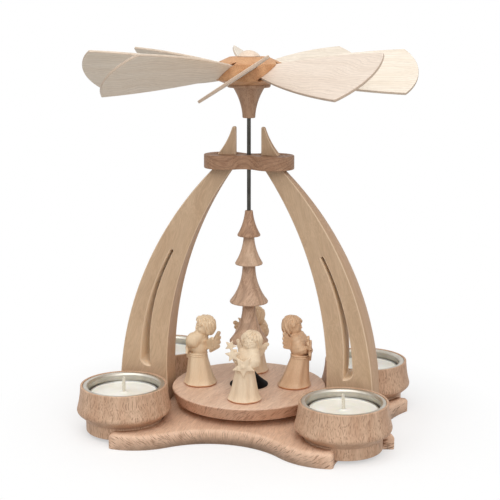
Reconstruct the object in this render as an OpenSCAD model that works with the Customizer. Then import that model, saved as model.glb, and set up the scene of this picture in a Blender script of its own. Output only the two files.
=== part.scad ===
// Four-candle christmas pyramid. Warm air from four tealights turns a rotor of slanted wooden
// blades, and its spindle carries a turned fir tree and a round platform with carved angels.
// The spindle stands in a bearing in the base and passes through a bridge between two legs.
// Lengths are in millimetres and angles in degrees. +Z is up, the origin is on the table under
// the spindle, and the two legs stand in the XZ plane.

/* [Tealights] */
// Radius of a standard tealight can
tealight_r = 19; // [18:0.25:20]
// Height of the can
tealight_h = 15.2; // [12:0.1:17]
// Thickness of the can's sheet
can_wall = 0.3; // [0.2:0.05:0.6]
// Depth of the wax below the can's rim
wax_down = 0.5; // [0.2:0.1:2]
// Radius of the wick
wick_r = 0.95; // [0.6:0.05:1.4]
// Length of wick above the wax
wick_up = 9; // [3:0.5:11]

/* [Candle cups] */
// Gap around a tealight in its metal insert
tealight_gap = 0.85; // [0.4:0.05:1.5]
// Sheet thickness of the metal inserts
insert_wall = 0.6; // [0.4:0.1:1]
// Width of the insert's flange outside its wall
insert_flange = 2.3; // [1.5:0.1:3]
// Depth of the insert, from its flange to its floor
insert_depth = 19.5; // [14:0.1:21]
// Gap under a tealight that stands in its insert
rest_gap = 0.1; // [0.05:0.01:0.2]
// Depth of the flange below the wooden rim
flange_down = 0.3; // [0.1:0.1:1]
// Width of the wooden rim around the flange
cup_rim_w = 1.25; // [0.8:0.05:3]
// Height of a cup, from its seat to its rim
cup_h = 25.7; // [24:0.1:32]
// Bulge of the belly outside the rim
cup_belly_out = 2.4; // [0:0.1:4]
// Height of the belly above the seat
cup_belly_z = 11.3; // [9:0.1:14]
// Setback of the foot inside the rim
cup_foot_in = 2.8; // [1:0.1:4]
// Height of the straight foot above the seat
cup_foot_h = 6.6; // [3:0.1:8]
// Radius of the hollow that is turned into the cup's side
cup_side_arc = 55; // [40:1:120]
// Bearing of the cups from the arch
cup_angle = 32.9; // [31:0.1:36]
// Gap between the platform's edge and a cup
cup_gap = 2.9; // [1:0.1:6]

/* [Base] */
// Thickness of the base plate
base_t = 8; // [7:0.5:14]
// Half depth of the base at its front and back waists
base_waist = 47; // [36:0.5:50]
// Wood left beside the foot of a leg
base_side_margin = 4.1; // [2:0.1:6]
// Radius of the hollow in the left and right sides
base_side_arc = 57.6; // [50:0.2:80]
// Radius of the four arms that carry the cups
arm_r = 35.6; // [34.5:0.1:37]
// Setback of an arm's centre from the cup along X
arm_in_x = 6.7; // [5.5:0.1:8]
// Setback of an arm's centre from the cup along Y
arm_in_y = 7; // [6:0.1:8]
// Radius of the bite that opens an arm around its cup
bite_r = 30; // [27:0.5:32]
// Offset of the bite from the cup along X
bite_out_x = 29.3; // [28:0.1:31]
// Offset of the bite from the cup along Y
bite_out_y = 22.4; // [21:0.1:24]
// Wood left under a cup
seat_floor = 2; // [1.5:0.1:3]
// Gap around a cup's foot in its seat
seat_gap = 0.8; // [0.2:0.1:1.5]

/* [Legs and bridge] */
// Angle that one leg takes out of the turned bell it is cut from
leg_angle = 20; // [16:0.5:22]
// Gap between the platform's edge and a leg
leg_gap = 3.1; // [1:0.1:6]
// Width of a leg at its foot
leg_w = 27.6; // [22:0.1:30]
// Height where the outer curve of a leg is upright
leg_outer_z = 11.3; // [8:0.1:16]
// Step from the tenon out to the outer curve under the bridge
leg_outer_step = 2; // [0:0.1:4]
// Height where the inner curve of a leg is upright
leg_inner_z = 27.5; // [24:0.1:31]
// Step from the tenon out to the inner curve under the bridge
leg_inner_step = 1.6; // [0:0.1:4]
// Distance of the slot from the leg's outer curve
slot_in = 13.1; // [9:0.1:15]
// Width of the slot at its lower end
slot_w = 5.1; // [3:0.1:8]
// Radius of the slot's outer side
slot_outer_arc = 146; // [139.5:0.5:152.5]
// Height where the slot's outer side is upright
slot_outer_z = 27.8; // [25:0.1:31]
// Radius of the slot's inner side
slot_inner_arc = 121.5; // [114.5:0.5:128.5]
// Height where the slot's inner side is upright
slot_inner_z = 39.9; // [37:0.1:43]
// Height of the slot's lowest point
slot_bottom = 29.5; // [26:0.1:36]
// Height where the slot's upper end begins to round
slot_top = 97.2; // [90:0.1:100]
// Height of the bridge's underside
bridge_z = 144.9; // [142:0.1:148]
// Thickness of the bridge
bridge_t = 7.6; // [6:0.1:10]
// Radius of the two rounded ends of the bridge
bridge_end_r = 11.7; // [10:0.1:13]
// Distance of those ends' centres from the spindle
bridge_end_x = 13.8; // [12:0.1:15]
// Half depth of the bridge at its waist
bridge_waist = 6; // [5:0.1:7]
// Distance of a leg's tenon from the spindle
tenon_in = 7.2; // [6.2:0.1:8]
// Width of a leg's tenon
tenon_w = 10.4; // [8:0.1:11]
// Height of a leg's horn above the bridge
horn_h = 15.5; // [10:0.5:20]
// Width of the horn at its top
horn_w = 2; // [1:0.1:4]
// Radius of the hollow outer side of the horn
horn_arc = 42; // [30:1:60]
// Radius of the dowels that hold the legs
dowel_r = 2; // [1.5:0.1:2.5]
// Depth of a dowel in the base
dowel_in_base = 5; // [3:0.5:6]
// Depth of a dowel in a leg
dowel_in_leg = 7; // [4:0.5:12]
// Distance of a dowel from the edge of a leg's foot
dowel_edge = 6.5; // [5:0.1:8]

/* [Spindle] */
// Radius of the steel spindle
shaft_r = 1.1; // [0.9:0.05:1.5]
// Radial clearance of the spindle in the bridge
shaft_clear = 0.08; // [0.05:0.01:0.1]
// Length of the spindle's ground point
shaft_point = 3; // [2:0.1:4]
// Radius of the bearing cup in the base
bearing_r = 4; // [3:0.1:6]
// Height of the bearing cup
bearing_h = 5; // [4:0.1:6]
// Width of the flat lip around the bearing's hollow
bearing_lip = 1; // [0.5:0.1:1.5]
// Depth of the bearing's hollow
bearing_hollow = 2.5; // [1.5:0.1:3]
// Gap under the spindle's point
point_gap = 0.1; // [0.05:0.01:0.2]

/* [Platform] */
// Radius of the round platform
platform_r = 44.2; // [40:0.1:48]
// Thickness of the platform
platform_t = 7.2; // [4:0.1:8]
// Gap between the base and the platform
platform_gap = 4.3; // [2:0.1:8]
// Setback of the platform's lower edge
platform_taper = 2; // [0:0.1:4]
// Softened top edge of the platform
platform_edge = 0.5; // [0.3:0.1:2]
// Radius of the black collar at its foot
collar_r = 11; // [8:0.1:13]
// Height of the black collar
collar_h = 8; // [6:0.1:14]
// Radius of the hollow in the collar's side
collar_arc = 30; // [20:1:60]
// Height of the collar's upright edge
collar_edge = 0.7; // [0.3:0.1:2]

/* [Tree] */
// Radius of the trunk
trunk_r = 3.4; // [2.5:0.1:4]
// Height of the lowest skirt's lower edge above the platform
trunk_h = 25.5; // [20:0.5:30]
// Heights of the four skirts, from the top down
skirt_h = [14.7, 16.2, 22.1, 23.2]; // [13:0.1:26]
// Radii of the skirts at their lower edges
skirt_r = [6.5, 7.8, 10.9, 11.1]; // [5.5:0.1:13]
// Radii of the skirts at their tops
skirt_neck = [2.2, 3, 3.7, 3.7]; // [2:0.1:4.5]
// Height of a skirt's upright lip
skirt_lip = 0.9; // [0.4:0.1:2]
// Depth that a skirt is hollowed out from below
skirt_hollow = 1.6; // [0.5:0.1:3]
// Radius of the hollow in a skirt's side
skirt_arc = 32; // [24:1:80]

/* [Rotor] */
// Height of the rotor's middle above the bridge
rotor_up = 45.9; // [42:0.1:55]
// Radius of the rotor at the blades' tips
rotor_r = 92; // [80:0.5:100]
// Bearing of the first blade from the arch
blade_start = -81.1; // [-90:0.1:-70]
// Slant of the blades
blade_pitch = 33; // [28:0.5:40]
// Thickness of a blade
blade_t = 1.5; // [1:0.1:2]
// Half width of a blade at its corners
blade_half_w = 20.3; // [15:0.1:22]
// Half width of a blade at its root
blade_root_half = 5.2; // [4:0.1:6]
// Radius of a blade's long sides
blade_side_arc = 280; // [220:1:500]
// Radius of a blade's tip
blade_tip_arc = 32; // [24:0.1:40]
// Distance of a blade's root from the spindle
blade_root = 13; // [11:0.1:14]
// Radius of the hub
hub_r = 18.2; // [17:0.1:20]
// Height of the hub's upright rim
hub_rim_h = 9; // [7:0.1:11]
// Radius of the hub's flat top
hub_top_r = 10.6; // [9:0.1:12]
// Height of the slope up to that flat
hub_top_h = 3.5; // [2:0.1:5]
// Radius of the hub's underside
hub_under_r = 12; // [11:0.1:14]
// Height of the slope down to the underside
hub_under_h = 2.4; // [1:0.1:4]
// Height of the hub's lower end below the rotor's middle
hub_down = 7.2; // [5:0.1:9]
// Half length of the sawn slots for the blades
blade_slot_half = 8.5; // [7:0.1:9]
// Height of the ring on top of the cone
cone_ring_h = 1.7; // [1:0.1:3]
// Radius of the cone under that ring
cone_r = 8.8; // [7:0.1:10]
// Height of the cone
cone_h = 16.7; // [12:0.1:20]
// Radius of the cone's lower end
cone_low_r = 3.5; // [2.5:0.1:5]
// Radius of the hollow in the cone's side
cone_arc = 33; // [24:1:80]
// Radius of the dome on the hub
dome_r = 6.4; // [4:0.1:8]
// Height of the dome
dome_h = 3.5; // [2:0.1:5]

/* [Angels] */
// Distance of the angels from the spindle
angel_ring = 27; // [25:0.1:30]
// Radius of an angel's gown at its hem
gown_r = 9.8; // [8:0.05:11]
// Height of the gown's hem
hem_h = 1; // [0.4:0.1:2]
// Height of the gown up to the belt
gown_h = 18.1; // [16:0.1:21]
// Radius of the hollow in the gown's side
gown_arc = 80; // [35:1:150]
// Radius of the belt
belt_r = 5.3; // [4.4:0.1:5.8]
// Distance that the belt stands out from the gown
belt_swell = 0.4; // [0.3:0.1:0.8]
// Distance of the belt's middle in front of the hem's
belt_fore = 2.4; // [0:0.1:3]
// Length of the body from the belt to the neck
torso_h = 13.2; // [9:0.1:15]
// Lean of the body from upright
torso_lean = 18; // [0:0.5:22]
// Direction of that lean from straight ahead
torso_bearing = 145; // [120:1:180]
// Radius of the chest
chest_r = 5.2; // [4.6:0.1:6]
// Length of the body from the belt to the chest
chest_up = 6.5; // [4:0.1:8]
// Radius of the neck
neck_r = 2.6; // [2:0.1:3]
// Radius of the head with its hair
head_r = 5.6; // [4.6:0.1:6.2]
// Depth that the head is sunk on the neck
head_sink = 0.7; // [0.3:0.1:1.5]
// Radius of a puffed sleeve
sleeve_r = 3.9; // [2.6:0.1:4.4]
// Height of the left sleeve above the belt
sleeve_up = 9; // [5.5:0.1:10]
// Height of the right sleeve below the left one
sleeve_drop = 4.5; // [3:0.1:6]
// Distance of the sleeves in front of the belt's middle
sleeve_fore = 1.4; // [0:0.1:3]
// Half the distance between the sleeves
sleeve_half = 4.3; // [4:0.1:5]
// Distance of their middle to the figure's left
sleeve_left = 1.7; // [0:0.1:2]
// Radius of a forearm
forearm_r = 1.5; // [1.3:0.1:2]
// Length of a forearm
forearm_l = 8.9; // [7:0.1:10]
// Turn of the forearms to the figure's right
forearm_turn = 26; // [15:1:35]
// Drop of the left forearm to the largest star
forearm_drop = 64; // [50:1:75]
// Rise of the right forearm, which holds the trail of stars up
forearm_lift = 63; // [50:1:75]
// Length of a wing's longest feather
wing_l = 12.4; // [10:0.1:14]
// Width of a feather
feather_w = 3.2; // [2.5:0.1:4]
// Angle between neighbouring feathers
feather_turn = 12; // [9:1:28]
// Step in length from feather to feather
feather_step = 2; // [1:0.1:2.5]
// Rise of the longest feather
wing_lift = 36; // [20:1:50]
// Sweep of a wing from the front
wing_sweep = 124; // [110:1:140]
// Thickness of a wing
wing_t = 1.4; // [1:0.1:2]
// Height of the wings' roots above the belt
wing_up = 5.8; // [2:0.1:7]
// Distance of the wings' roots to the figure's left
wing_left = 1.8; // [0:0.1:3]
// Radius of the largest star
star_r = 6.4; // [5.4:0.1:7]
// Radius of the middle star
star_mid_r = 4.2; // [3.6:0.1:4.4]
// Radius of the smallest star
star_small_r = 3.3; // [3:0.1:3.6]
// Thickness of the stars
star_t = 1.6; // [1.2:0.1:2]

/* [Fits] */
// Radial gap of glued pieces
glue_gap = 0.03; // [0.02:0.01:0.05]

/* [Hidden] */
$fn = 96;
fine = 360;
over = 1;

CUPS = 4;
BLADES = 8;
ANGELS = ["angel_front", "angel_right", "angel_back", "angel_left"];
FEATHERS = 3;
STAR_POINTS = 5;
STAR_NOTCH = 0.5;

// Places of the stars: the lowest from the front of the belt, each further one from the last
star_sink = 0.3;
star_low = [star_t / 2 - star_sink, 0.1, 3.2];
star_mid_step = [-0.3, -5.9, 6.5];
star_small_step = [-0.6, -1.3, 5];
star_mid_turn = 43;
star_small_turn = 14;

// Turned sizes of a cup, from the tealight outwards
insert_r = tealight_r + tealight_gap;
insert_out = insert_r + insert_wall;
flange_r = insert_out + insert_flange;
cup_rim_r = flange_r + glue_gap + cup_rim_w;
cup_belly_r = cup_rim_r + cup_belly_out;
cup_foot_r = cup_rim_r - cup_foot_in;
cup_top = seat_floor + cup_h;
insert_top = cup_top - flange_down;
insert_floor = insert_top - insert_depth;
can_z = insert_floor + rest_gap;
wax_top = can_z + tealight_h - wax_down;

// Places around the spindle
cup_ring = platform_r + cup_gap + cup_belly_r;
cup_x = cup_ring * cos(cup_angle);
cup_y = cup_ring * sin(cup_angle);
leg_in = platform_r + leg_gap;
leg_out = leg_in + leg_w;
dowel_x = [leg_in + dowel_edge, leg_out - dowel_edge];

// Outline of the base
arm_x = cup_x - arm_in_x;
arm_y = cup_y - arm_in_y;
waist_rise = base_waist - arm_y;
waist_arc = (arm_x ^ 2 + waist_rise ^ 2 - arm_r ^ 2) / (2 * (arm_r - waist_rise));
waist_centre = base_waist + waist_arc;
base_side = leg_out + base_side_margin;

// Outline of the bridge
bridge_hollow = bridge_end_r - bridge_waist;
bridge_arc = (bridge_end_x ^ 2 + bridge_waist ^ 2 - bridge_end_r ^ 2) / (2 * bridge_hollow);
bridge_centre = bridge_waist + bridge_arc;
bridge_top = bridge_z + bridge_t;
tenon_out = tenon_in + tenon_w;
mortise_angle = leg_angle + 2 * atan(glue_gap / tenon_in);

// Curves of a leg: each is upright at its widest place and meets the bridge at the tenon's step
function upright_arc(run, rise) = (run ^ 2 + rise ^ 2) / (2 * run);
leg_outer_arc = upright_arc(leg_out - tenon_out - leg_outer_step, bridge_z - leg_outer_z);
leg_inner_arc = upright_arc(leg_in - tenon_in - leg_inner_step, bridge_z - leg_inner_z);

// Sides of the slot at the height where its upper end begins to round
function upright_x(widest, z, r, height) = widest - r + sqrt(r ^ 2 - (height - z) ^ 2);
slot_out_x = leg_out - slot_in;
slot_in_x = slot_out_x - slot_w;
slot_top_out = upright_x(slot_out_x, slot_outer_z, slot_outer_arc, slot_top);
slot_top_in = upright_x(slot_in_x, slot_inner_z, slot_inner_arc, slot_top);
slot_top_w = abs(slot_top_out - slot_top_in);

// Heights on the spindle
bearing_z = base_t - bearing_h;
point_z = base_t - bearing_hollow + point_gap;
platform_z = base_t + platform_gap;
platform_top = platform_z + platform_t;
tree_z = platform_top + trunk_h;
rotor_z = bridge_top + rotor_up;
hub_z = rotor_z - hub_down;
hub_rim_z = hub_z + hub_under_h;
hub_slope_z = hub_rim_z + hub_rim_h;
hub_top = hub_slope_z + hub_top_h;
shaft_top = hub_slope_z;
spindle_bore = shaft_r + glue_gap;
angel_step = 360 / len(ANGELS);
gown_lean = atan(belt_fore / gown_h);
head_up = torso_h + head_r - head_sink;
wing_z = gown_h + wing_up;

// Blade outline: the long sides are arcs through the root and the corner
blade_tip_s = rotor_r - blade_tip_arc;
blade_corner_s = blade_tip_s + sqrt(blade_tip_arc ^ 2 - blade_half_w ^ 2);
blade_chord = [blade_corner_s - blade_root, blade_half_w - blade_root_half];
blade_chord_l = norm(blade_chord);
blade_sag = sqrt(blade_side_arc ^ 2 - (blade_chord_l / 2) ^ 2);
blade_arc_s = (blade_root + blade_corner_s) / 2 + blade_sag * blade_chord[1] / blade_chord_l;
blade_arc_w = (blade_root_half + blade_half_w) / 2 - blade_sag * blade_chord[0] / blade_chord_l;

beech = [0.80, 0.66, 0.54];
leg_wood = [0.70, 0.60, 0.47];
pale_wood = [0.92, 0.86, 0.79];
warm_wood = [0.77, 0.55, 0.37];
lime_wood = [0.89, 0.80, 0.68];
steel = [0.25, 0.25, 0.24];
sheet_metal = [0.68, 0.67, 0.64];
wax_white = [0.95, 0.95, 0.91];
stain_black = [0.12, 0.12, 0.12];

function numbered(name, count) = [for (i = [1:count]) str(name, "_", i)];

// Centre of the circle of radius r that has p and q on it and lies to the right of p to q
function arc_centre(p, q, r) =
    let (d = q - p, l = norm(d), n = [d[1], -d[0]] / l)
    (p + q) / 2 + n * sqrt(r ^ 2 - (l / 2) ^ 2);

// Hollow that is turned into the side from p to q, which has the body on its left
module hollow(p, q, r) {
    d = (q - p) / norm(q - p);
    n = [d[1], -d[0]];
    intersection() {
        translate(arc_centre(p, q, r)) circle(r = r, $fn = fine);
        polygon([p + over * n, p - r * n, q - r * n, q + over * n]);
    }
}

module quarters(x, y) {
    for (sx = [-1, 1], sy = [-1, 1]) translate([sx * x, sy * y]) children();
}

// Cups count from the front left, anticlockwise seen from above
module at_cup(i) {
    sx = i == 1 || i == 4 ? -1 : 1;
    sy = i <= 2 ? -1 : 1;
    translate([sx * cup_x, sy * cup_y, 0]) children();
}

module base_outline() {
    difference() {
        union() {
            polygon([
                [arm_x, arm_y], [0, waist_centre], [-arm_x, arm_y],
                [-arm_x, -arm_y], [0, -waist_centre], [arm_x, -arm_y]
            ]);
            quarters(arm_x, arm_y) circle(r = arm_r, $fn = fine);
            square([2 * (arm_x + arm_r), 2 * arm_y], center = true);
        }
        for (s = [-1, 1]) translate([0, s * waist_centre]) circle(r = waist_arc, $fn = fine);
        for (s = [-1, 1])
            translate([s * (base_side + base_side_arc), 0])
            circle(r = base_side_arc, $fn = fine);
        quarters(cup_x + bite_out_x, cup_y + bite_out_y) circle(r = bite_r, $fn = fine);
    }
}

module base_plate() {
    color(beech)
    difference() {
        linear_extrude(height = base_t) base_outline();
        for (i = [1:CUPS])
            at_cup(i) translate([0, 0, seat_floor]) cylinder(r = cup_foot_r + seat_gap, h = base_t);
        translate([0, 0, bearing_z]) cylinder(r = bearing_r + glue_gap, h = base_t);
        dowel_set(glue_gap);
    }
}

module dowel_set(gap) {
    for (s = [-1, 1], x = dowel_x)
        translate([s * x, 0, base_t - dowel_in_base - gap])
        cylinder(r = dowel_r + gap, h = dowel_in_base + dowel_in_leg + 2 * gap);
}

module leg_dowels() {
    color(beech) dowel_set(0);
}

// Leg seen from the side, as distance from the spindle and height
module leg_outline() {
    difference() {
        intersection() {
            translate([leg_out - leg_outer_arc, leg_outer_z]) circle(r = leg_outer_arc, $fn = fine);
            translate([0, base_t]) square([leg_out + over, bridge_z - base_t]);
        }
        translate([leg_in - leg_inner_arc, leg_inner_z]) circle(r = leg_inner_arc, $fn = fine);
    }
    translate([tenon_in, bridge_z]) square([tenon_w, bridge_t]);
    horn_foot = [tenon_out, bridge_top];
    horn_tip = [tenon_in + horn_w, bridge_top + horn_h];
    difference() {
        polygon([[tenon_in, bridge_top], horn_foot, horn_tip, [tenon_in, bridge_top + horn_h]]);
        hollow(horn_foot, horn_tip, horn_arc);
    }
}

// Slot in a leg: a tapering crescent with round ends
module slot_outline() {
    slot_round_z = slot_bottom + slot_w;
    difference() {
        intersection() {
            translate([slot_out_x - slot_outer_arc, slot_outer_z])
            circle(r = slot_outer_arc, $fn = fine);
            union() {
                translate([slot_in_x, slot_round_z]) circle(r = slot_w);
                translate([0, slot_round_z]) square([leg_out, slot_top - slot_round_z]);
                translate([(slot_top_out + slot_top_in) / 2, slot_top]) circle(d = slot_top_w);
            }
        }
        translate([slot_in_x - slot_inner_arc, slot_inner_z]) circle(r = slot_inner_arc, $fn = fine);
    }
}

module leg() {
    color(leg_wood)
    difference() {
        rotate([0, 0, -leg_angle / 2]) rotate_extrude(angle = leg_angle) leg_outline();
        rotate([90, 0, 0]) linear_extrude(height = leg_out, center = true) slot_outline();
        dowel_set(glue_gap);
    }
}

module leg_right() {
    leg();
}

module leg_left() {
    rotate([0, 0, 180]) leg();
}

module bridge_outline() {
    difference() {
        union() {
            polygon([[bridge_end_x, 0], [0, bridge_centre], [-bridge_end_x, 0], [0, -bridge_centre]]);
            for (s = [-1, 1]) translate([s * bridge_end_x, 0]) circle(r = bridge_end_r);
        }
        for (s = [-1, 1]) translate([0, s * bridge_centre]) circle(r = bridge_arc);
    }
}

module bridge() {
    color(warm_wood)
    difference() {
        translate([0, 0, bridge_z]) linear_extrude(height = bridge_t) bridge_outline();
        for (a = [0, 180])
            rotate([0, 0, a - mortise_angle / 2])
            rotate_extrude(angle = mortise_angle)
            translate([tenon_in - glue_gap, bridge_z - over])
            square([tenon_w + 2 * glue_gap, bridge_t + 2 * over]);
        translate([0, 0, bridge_z - over]) cylinder(r = shaft_r + shaft_clear, h = bridge_t + 2 * over);
    }
}

module pivot_bearing() {
    color(sheet_metal)
    difference() {
        translate([0, 0, bearing_z]) cylinder(r = bearing_r, h = bearing_h);
        translate([0, 0, base_t - bearing_hollow])
        cylinder(r1 = 0, r2 = bearing_r - bearing_lip, h = bearing_hollow);
    }
}

module candle_cup(i) {
    rim = [cup_rim_r, cup_h];
    belly = [cup_belly_r, cup_belly_z];
    recess_z = insert_top - insert_wall - glue_gap;
    color(beech)
    at_cup(i)
    difference() {
        translate([0, 0, seat_floor])
        rotate_extrude()
        difference() {
            polygon([[0, 0], [cup_foot_r, 0], [cup_foot_r, cup_foot_h], belly, rim, [0, cup_h]]);
            hollow(belly, rim, cup_side_arc);
        }
        translate([0, 0, recess_z]) cylinder(r = flange_r + glue_gap, h = cup_h);
        translate([0, 0, insert_floor - insert_wall - glue_gap])
        cylinder(r = insert_out + glue_gap, h = cup_h);
    }
}

module cup_insert(i) {
    color(sheet_metal)
    at_cup(i)
    difference() {
        union() {
            translate([0, 0, insert_top - insert_wall]) cylinder(r = flange_r, h = insert_wall);
            translate([0, 0, insert_floor - insert_wall]) cylinder(r = insert_out, h = insert_depth);
        }
        translate([0, 0, insert_floor]) cylinder(r = insert_r, h = insert_depth + over);
    }
}

module tealight_can(i) {
    color(sheet_metal)
    at_cup(i)
    translate([0, 0, can_z])
    difference() {
        cylinder(r = tealight_r, h = tealight_h);
        translate([0, 0, can_wall]) cylinder(r = tealight_r - can_wall, h = tealight_h);
    }
}

module tealight_wax(i) {
    wax_z = can_z + can_wall;
    color(wax_white)
    at_cup(i)
    difference() {
        translate([0, 0, wax_z]) cylinder(r = tealight_r - can_wall - glue_gap, h = wax_top - wax_z);
        translate([0, 0, wax_z + can_wall]) cylinder(r = wick_r + glue_gap, h = tealight_h);
    }
}

module tealight_wick(i) {
    wick_z = can_z + 2 * can_wall;
    color(wax_white)
    at_cup(i) translate([0, 0, wick_z]) cylinder(r = wick_r, h = wax_top + wick_up - wick_z);
}

module spindle_rod() {
    round_z = point_z + shaft_point;
    color(steel) {
        translate([0, 0, point_z]) cylinder(r1 = 0, r2 = shaft_r, h = shaft_point);
        translate([0, 0, round_z]) cylinder(r = shaft_r, h = shaft_top - round_z);
    }
}

module spindle_hole(z, h) {
    translate([0, 0, z]) cylinder(r = spindle_bore, h = h);
}

module platform() {
    color(beech)
    difference() {
        rotate_extrude()
        polygon([
            [0, platform_z], [platform_r - platform_taper, platform_z],
            [platform_r, platform_top - platform_edge], [platform_r - platform_edge, platform_top],
            [0, platform_top]
        ]);
        spindle_hole(platform_z - over, platform_t + 2 * over);
    }
}

module platform_collar() {
    foot = [collar_r, platform_top + collar_edge];
    top = [trunk_r, platform_top + collar_h];
    color(stain_black)
    difference() {
        rotate_extrude()
        difference() {
            polygon([[0, platform_top], [collar_r, platform_top], foot, top, [0, top[1]]]);
            hollow(foot, top, collar_arc);
        }
        spindle_hole(platform_top - over, collar_h + 2 * over);
    }
}

module tree_trunk() {
    trunk_z = platform_top + collar_h;
    trunk_top = tree_z + skirt_hollow;
    color(beech)
    difference() {
        translate([0, 0, trunk_z]) cylinder(r = trunk_r, h = trunk_top - trunk_z);
        spindle_hole(trunk_z - over, trunk_h);
    }
}

// Height of a skirt's lower edge: the skirts are counted from the top and stand on each other
function skirt_z(i) = i == len(skirt_h) ? tree_z : skirt_z(i + 1) + skirt_h[i];

module tree_skirt(i) {
    z = skirt_z(i);
    low = skirt_r[i - 1];
    neck = skirt_neck[i - 1];
    h = skirt_h[i - 1];
    below = i == len(skirt_h) ? trunk_r : skirt_neck[i];
    top_z = i == 1 ? h : h + skirt_hollow;
    lip = [low, skirt_lip];
    shoulder = [neck, h];
    color(i == 2 ? lime_wood : beech)
    translate([0, 0, z])
    difference() {
        rotate_extrude()
        difference() {
            polygon([
                [0, skirt_hollow], [below + glue_gap, skirt_hollow], [low, 0], lip, shoulder,
                [neck, top_z], [0, top_z]
            ]);
            hollow(lip, shoulder, skirt_arc);
        }
        spindle_hole(-over, top_z + 2 * over);
    }
}

module hub_cone() {
    ring_z = hub_z - cone_ring_h;
    low_z = ring_z - cone_h;
    low = [cone_low_r, low_z];
    high = [cone_r, ring_z];
    color(beech)
    difference() {
        rotate_extrude()
        difference() {
            polygon([[0, low_z], low, high, [hub_under_r, ring_z], [hub_under_r, hub_z], [0, hub_z]]);
            hollow(low, high, cone_arc);
        }
        spindle_hole(low_z - over, hub_z - low_z + 2 * over);
    }
}

// Places a flat shape in the slanted plane of blade i
module in_blade_plane(i) {
    rotate([0, 0, blade_start + (i - 1) * 360 / BLADES])
    translate([0, 0, rotor_z])
    rotate([blade_pitch, 0, 0])
    children();
}

module rotor_hub() {
    slot_t = blade_t + 2 * glue_gap;
    color(warm_wood)
    difference() {
        rotate_extrude()
        polygon([
            [0, hub_z], [hub_under_r, hub_z], [hub_r, hub_rim_z], [hub_r, hub_slope_z],
            [hub_top_r, hub_top], [0, hub_top]
        ]);
        for (i = [1:BLADES])
            in_blade_plane(i)
            translate([blade_root - glue_gap, -blade_slot_half, -slot_t / 2])
            cube([hub_r, 2 * blade_slot_half, slot_t]);
        spindle_hole(hub_z - over, shaft_top + glue_gap - hub_z + over);
    }
}

module hub_dome() {
    dome_ball = (dome_r ^ 2 + dome_h ^ 2) / (2 * dome_h);
    color(pale_wood)
    rotate_extrude()
    intersection() {
        translate([0, hub_top + dome_h - dome_ball]) circle(r = dome_ball);
        translate([0, hub_top]) square([dome_r, dome_h]);
    }
}

module blade_outline() {
    intersection() {
        translate([blade_arc_s, blade_arc_w]) circle(r = blade_side_arc, $fn = fine);
        translate([blade_arc_s, -blade_arc_w]) circle(r = blade_side_arc, $fn = fine);
        union() {
            translate([blade_tip_s, 0]) circle(r = blade_tip_arc);
            translate([blade_root, -rotor_r / 2]) square([blade_tip_s - blade_root, rotor_r]);
        }
    }
}

module blade(i) {
    color(pale_wood)
    in_blade_plane(i) linear_extrude(height = blade_t, center = true) blade_outline();
}

// An angel faces along +X and stands on the platform
module angel_at(i) {
    rotate([0, 0, blade_start + (i - 1) * angel_step])
    translate([angel_ring, 0, platform_top])
    children();
}

// Gown that leans forward from its hem, cut flat where it stands
module gown() {
    hem = [gown_r, hem_h];
    belt = [belt_r, gown_h];
    below = gown_r;
    difference() {
        rotate([0, gown_lean, 0])
        rotate_extrude()
        difference() {
            polygon([[0, -below], [gown_r, -below], hem, belt, [0, gown_h]]);
            hollow(hem, belt, gown_arc);
        }
        translate([-2 * gown_r, -2 * gown_r, -2 * below]) cube([4 * gown_r, 4 * gown_r, 2 * below]);
    }
}

// Body and head, which lean back to the figure's left from the belt
module torso() {
    translate([belt_fore, 0, gown_h]) {
        sphere(r = belt_r + belt_swell);
        rotate([0, 0, torso_bearing])
        rotate([0, torso_lean, 0]) {
            rotate_extrude()
            polygon([
                [0, 0], [belt_r, 0], [chest_r, chest_up],
                [neck_r, torso_h], [neck_r, head_up], [0, head_up]
            ]);
            translate([0, 0, head_up]) sphere(r = head_r);
        }
    }
}

// One arm: a puffed sleeve and a forearm that reaches forward
module arm(side, up, drop) {
    translate([belt_fore + sleeve_fore, sleeve_left + side * sleeve_half, gown_h + up]) {
        sphere(r = sleeve_r);
        rotate([0, 0, -forearm_turn])
        rotate([0, 90 + drop, 0]) {
            cylinder(r = forearm_r, h = forearm_l);
            translate([0, 0, forearm_l]) sphere(r = forearm_r);
        }
    }
}

module feather(l) {
    translate([0, -feather_w / 2]) square([l - feather_w / 2, feather_w]);
    translate([l - feather_w / 2, 0]) circle(d = feather_w);
}

// One wing: a fan of feathers, swept back from between the shoulders
module wing(side) {
    translate([feather_w - chest_r, wing_left, wing_z])
    rotate([0, 0, side * wing_sweep])
    rotate([90, 0, 0])
    linear_extrude(height = wing_t, center = true)
    for (k = [0:FEATHERS - 1])
        rotate(wing_lift - k * feather_turn) feather(wing_l - k * feather_step);
}

// Star in a plane that faces forward, with one point turned by an angle from straight down
module star(r, turn) {
    step = 180 / STAR_POINTS;
    rotate([0, 90, 0])
    linear_extrude(height = star_t, center = true)
    polygon([
        for (k = [0:2 * STAR_POINTS - 1])
        let (q = k % 2 == 0 ? r : r * STAR_NOTCH)
        [q * cos(turn + step * k), q * sin(turn + step * k)]
    ]);
}

// Trail of three stars: the largest in front of the gown, the others beside the right shoulder
module star_trail() {
    low = [belt_fore + belt_r + belt_swell, 0, gown_h] + star_low;
    mid = low + star_mid_step;
    translate(low) star(star_r, 0);
    translate(mid) star(star_mid_r, star_mid_turn);
    translate(mid + star_small_step) star(star_small_r, star_small_turn);
}

module figure() {
    gown();
    torso();
    arm(1, sleeve_up, forearm_drop);
    arm(-1, sleeve_up - sleeve_drop, -forearm_lift);
    for (side = [-1, 1]) wing(side);
    star_trail();
}

// The angel at the back is the mirror image of the others
module angel(i) {
    color(lime_wood)
    angel_at(i) {
        if (ANGELS[i - 1] == "angel_back") mirror([0, 1, 0]) figure();
        else figure();
    }
}

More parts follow.
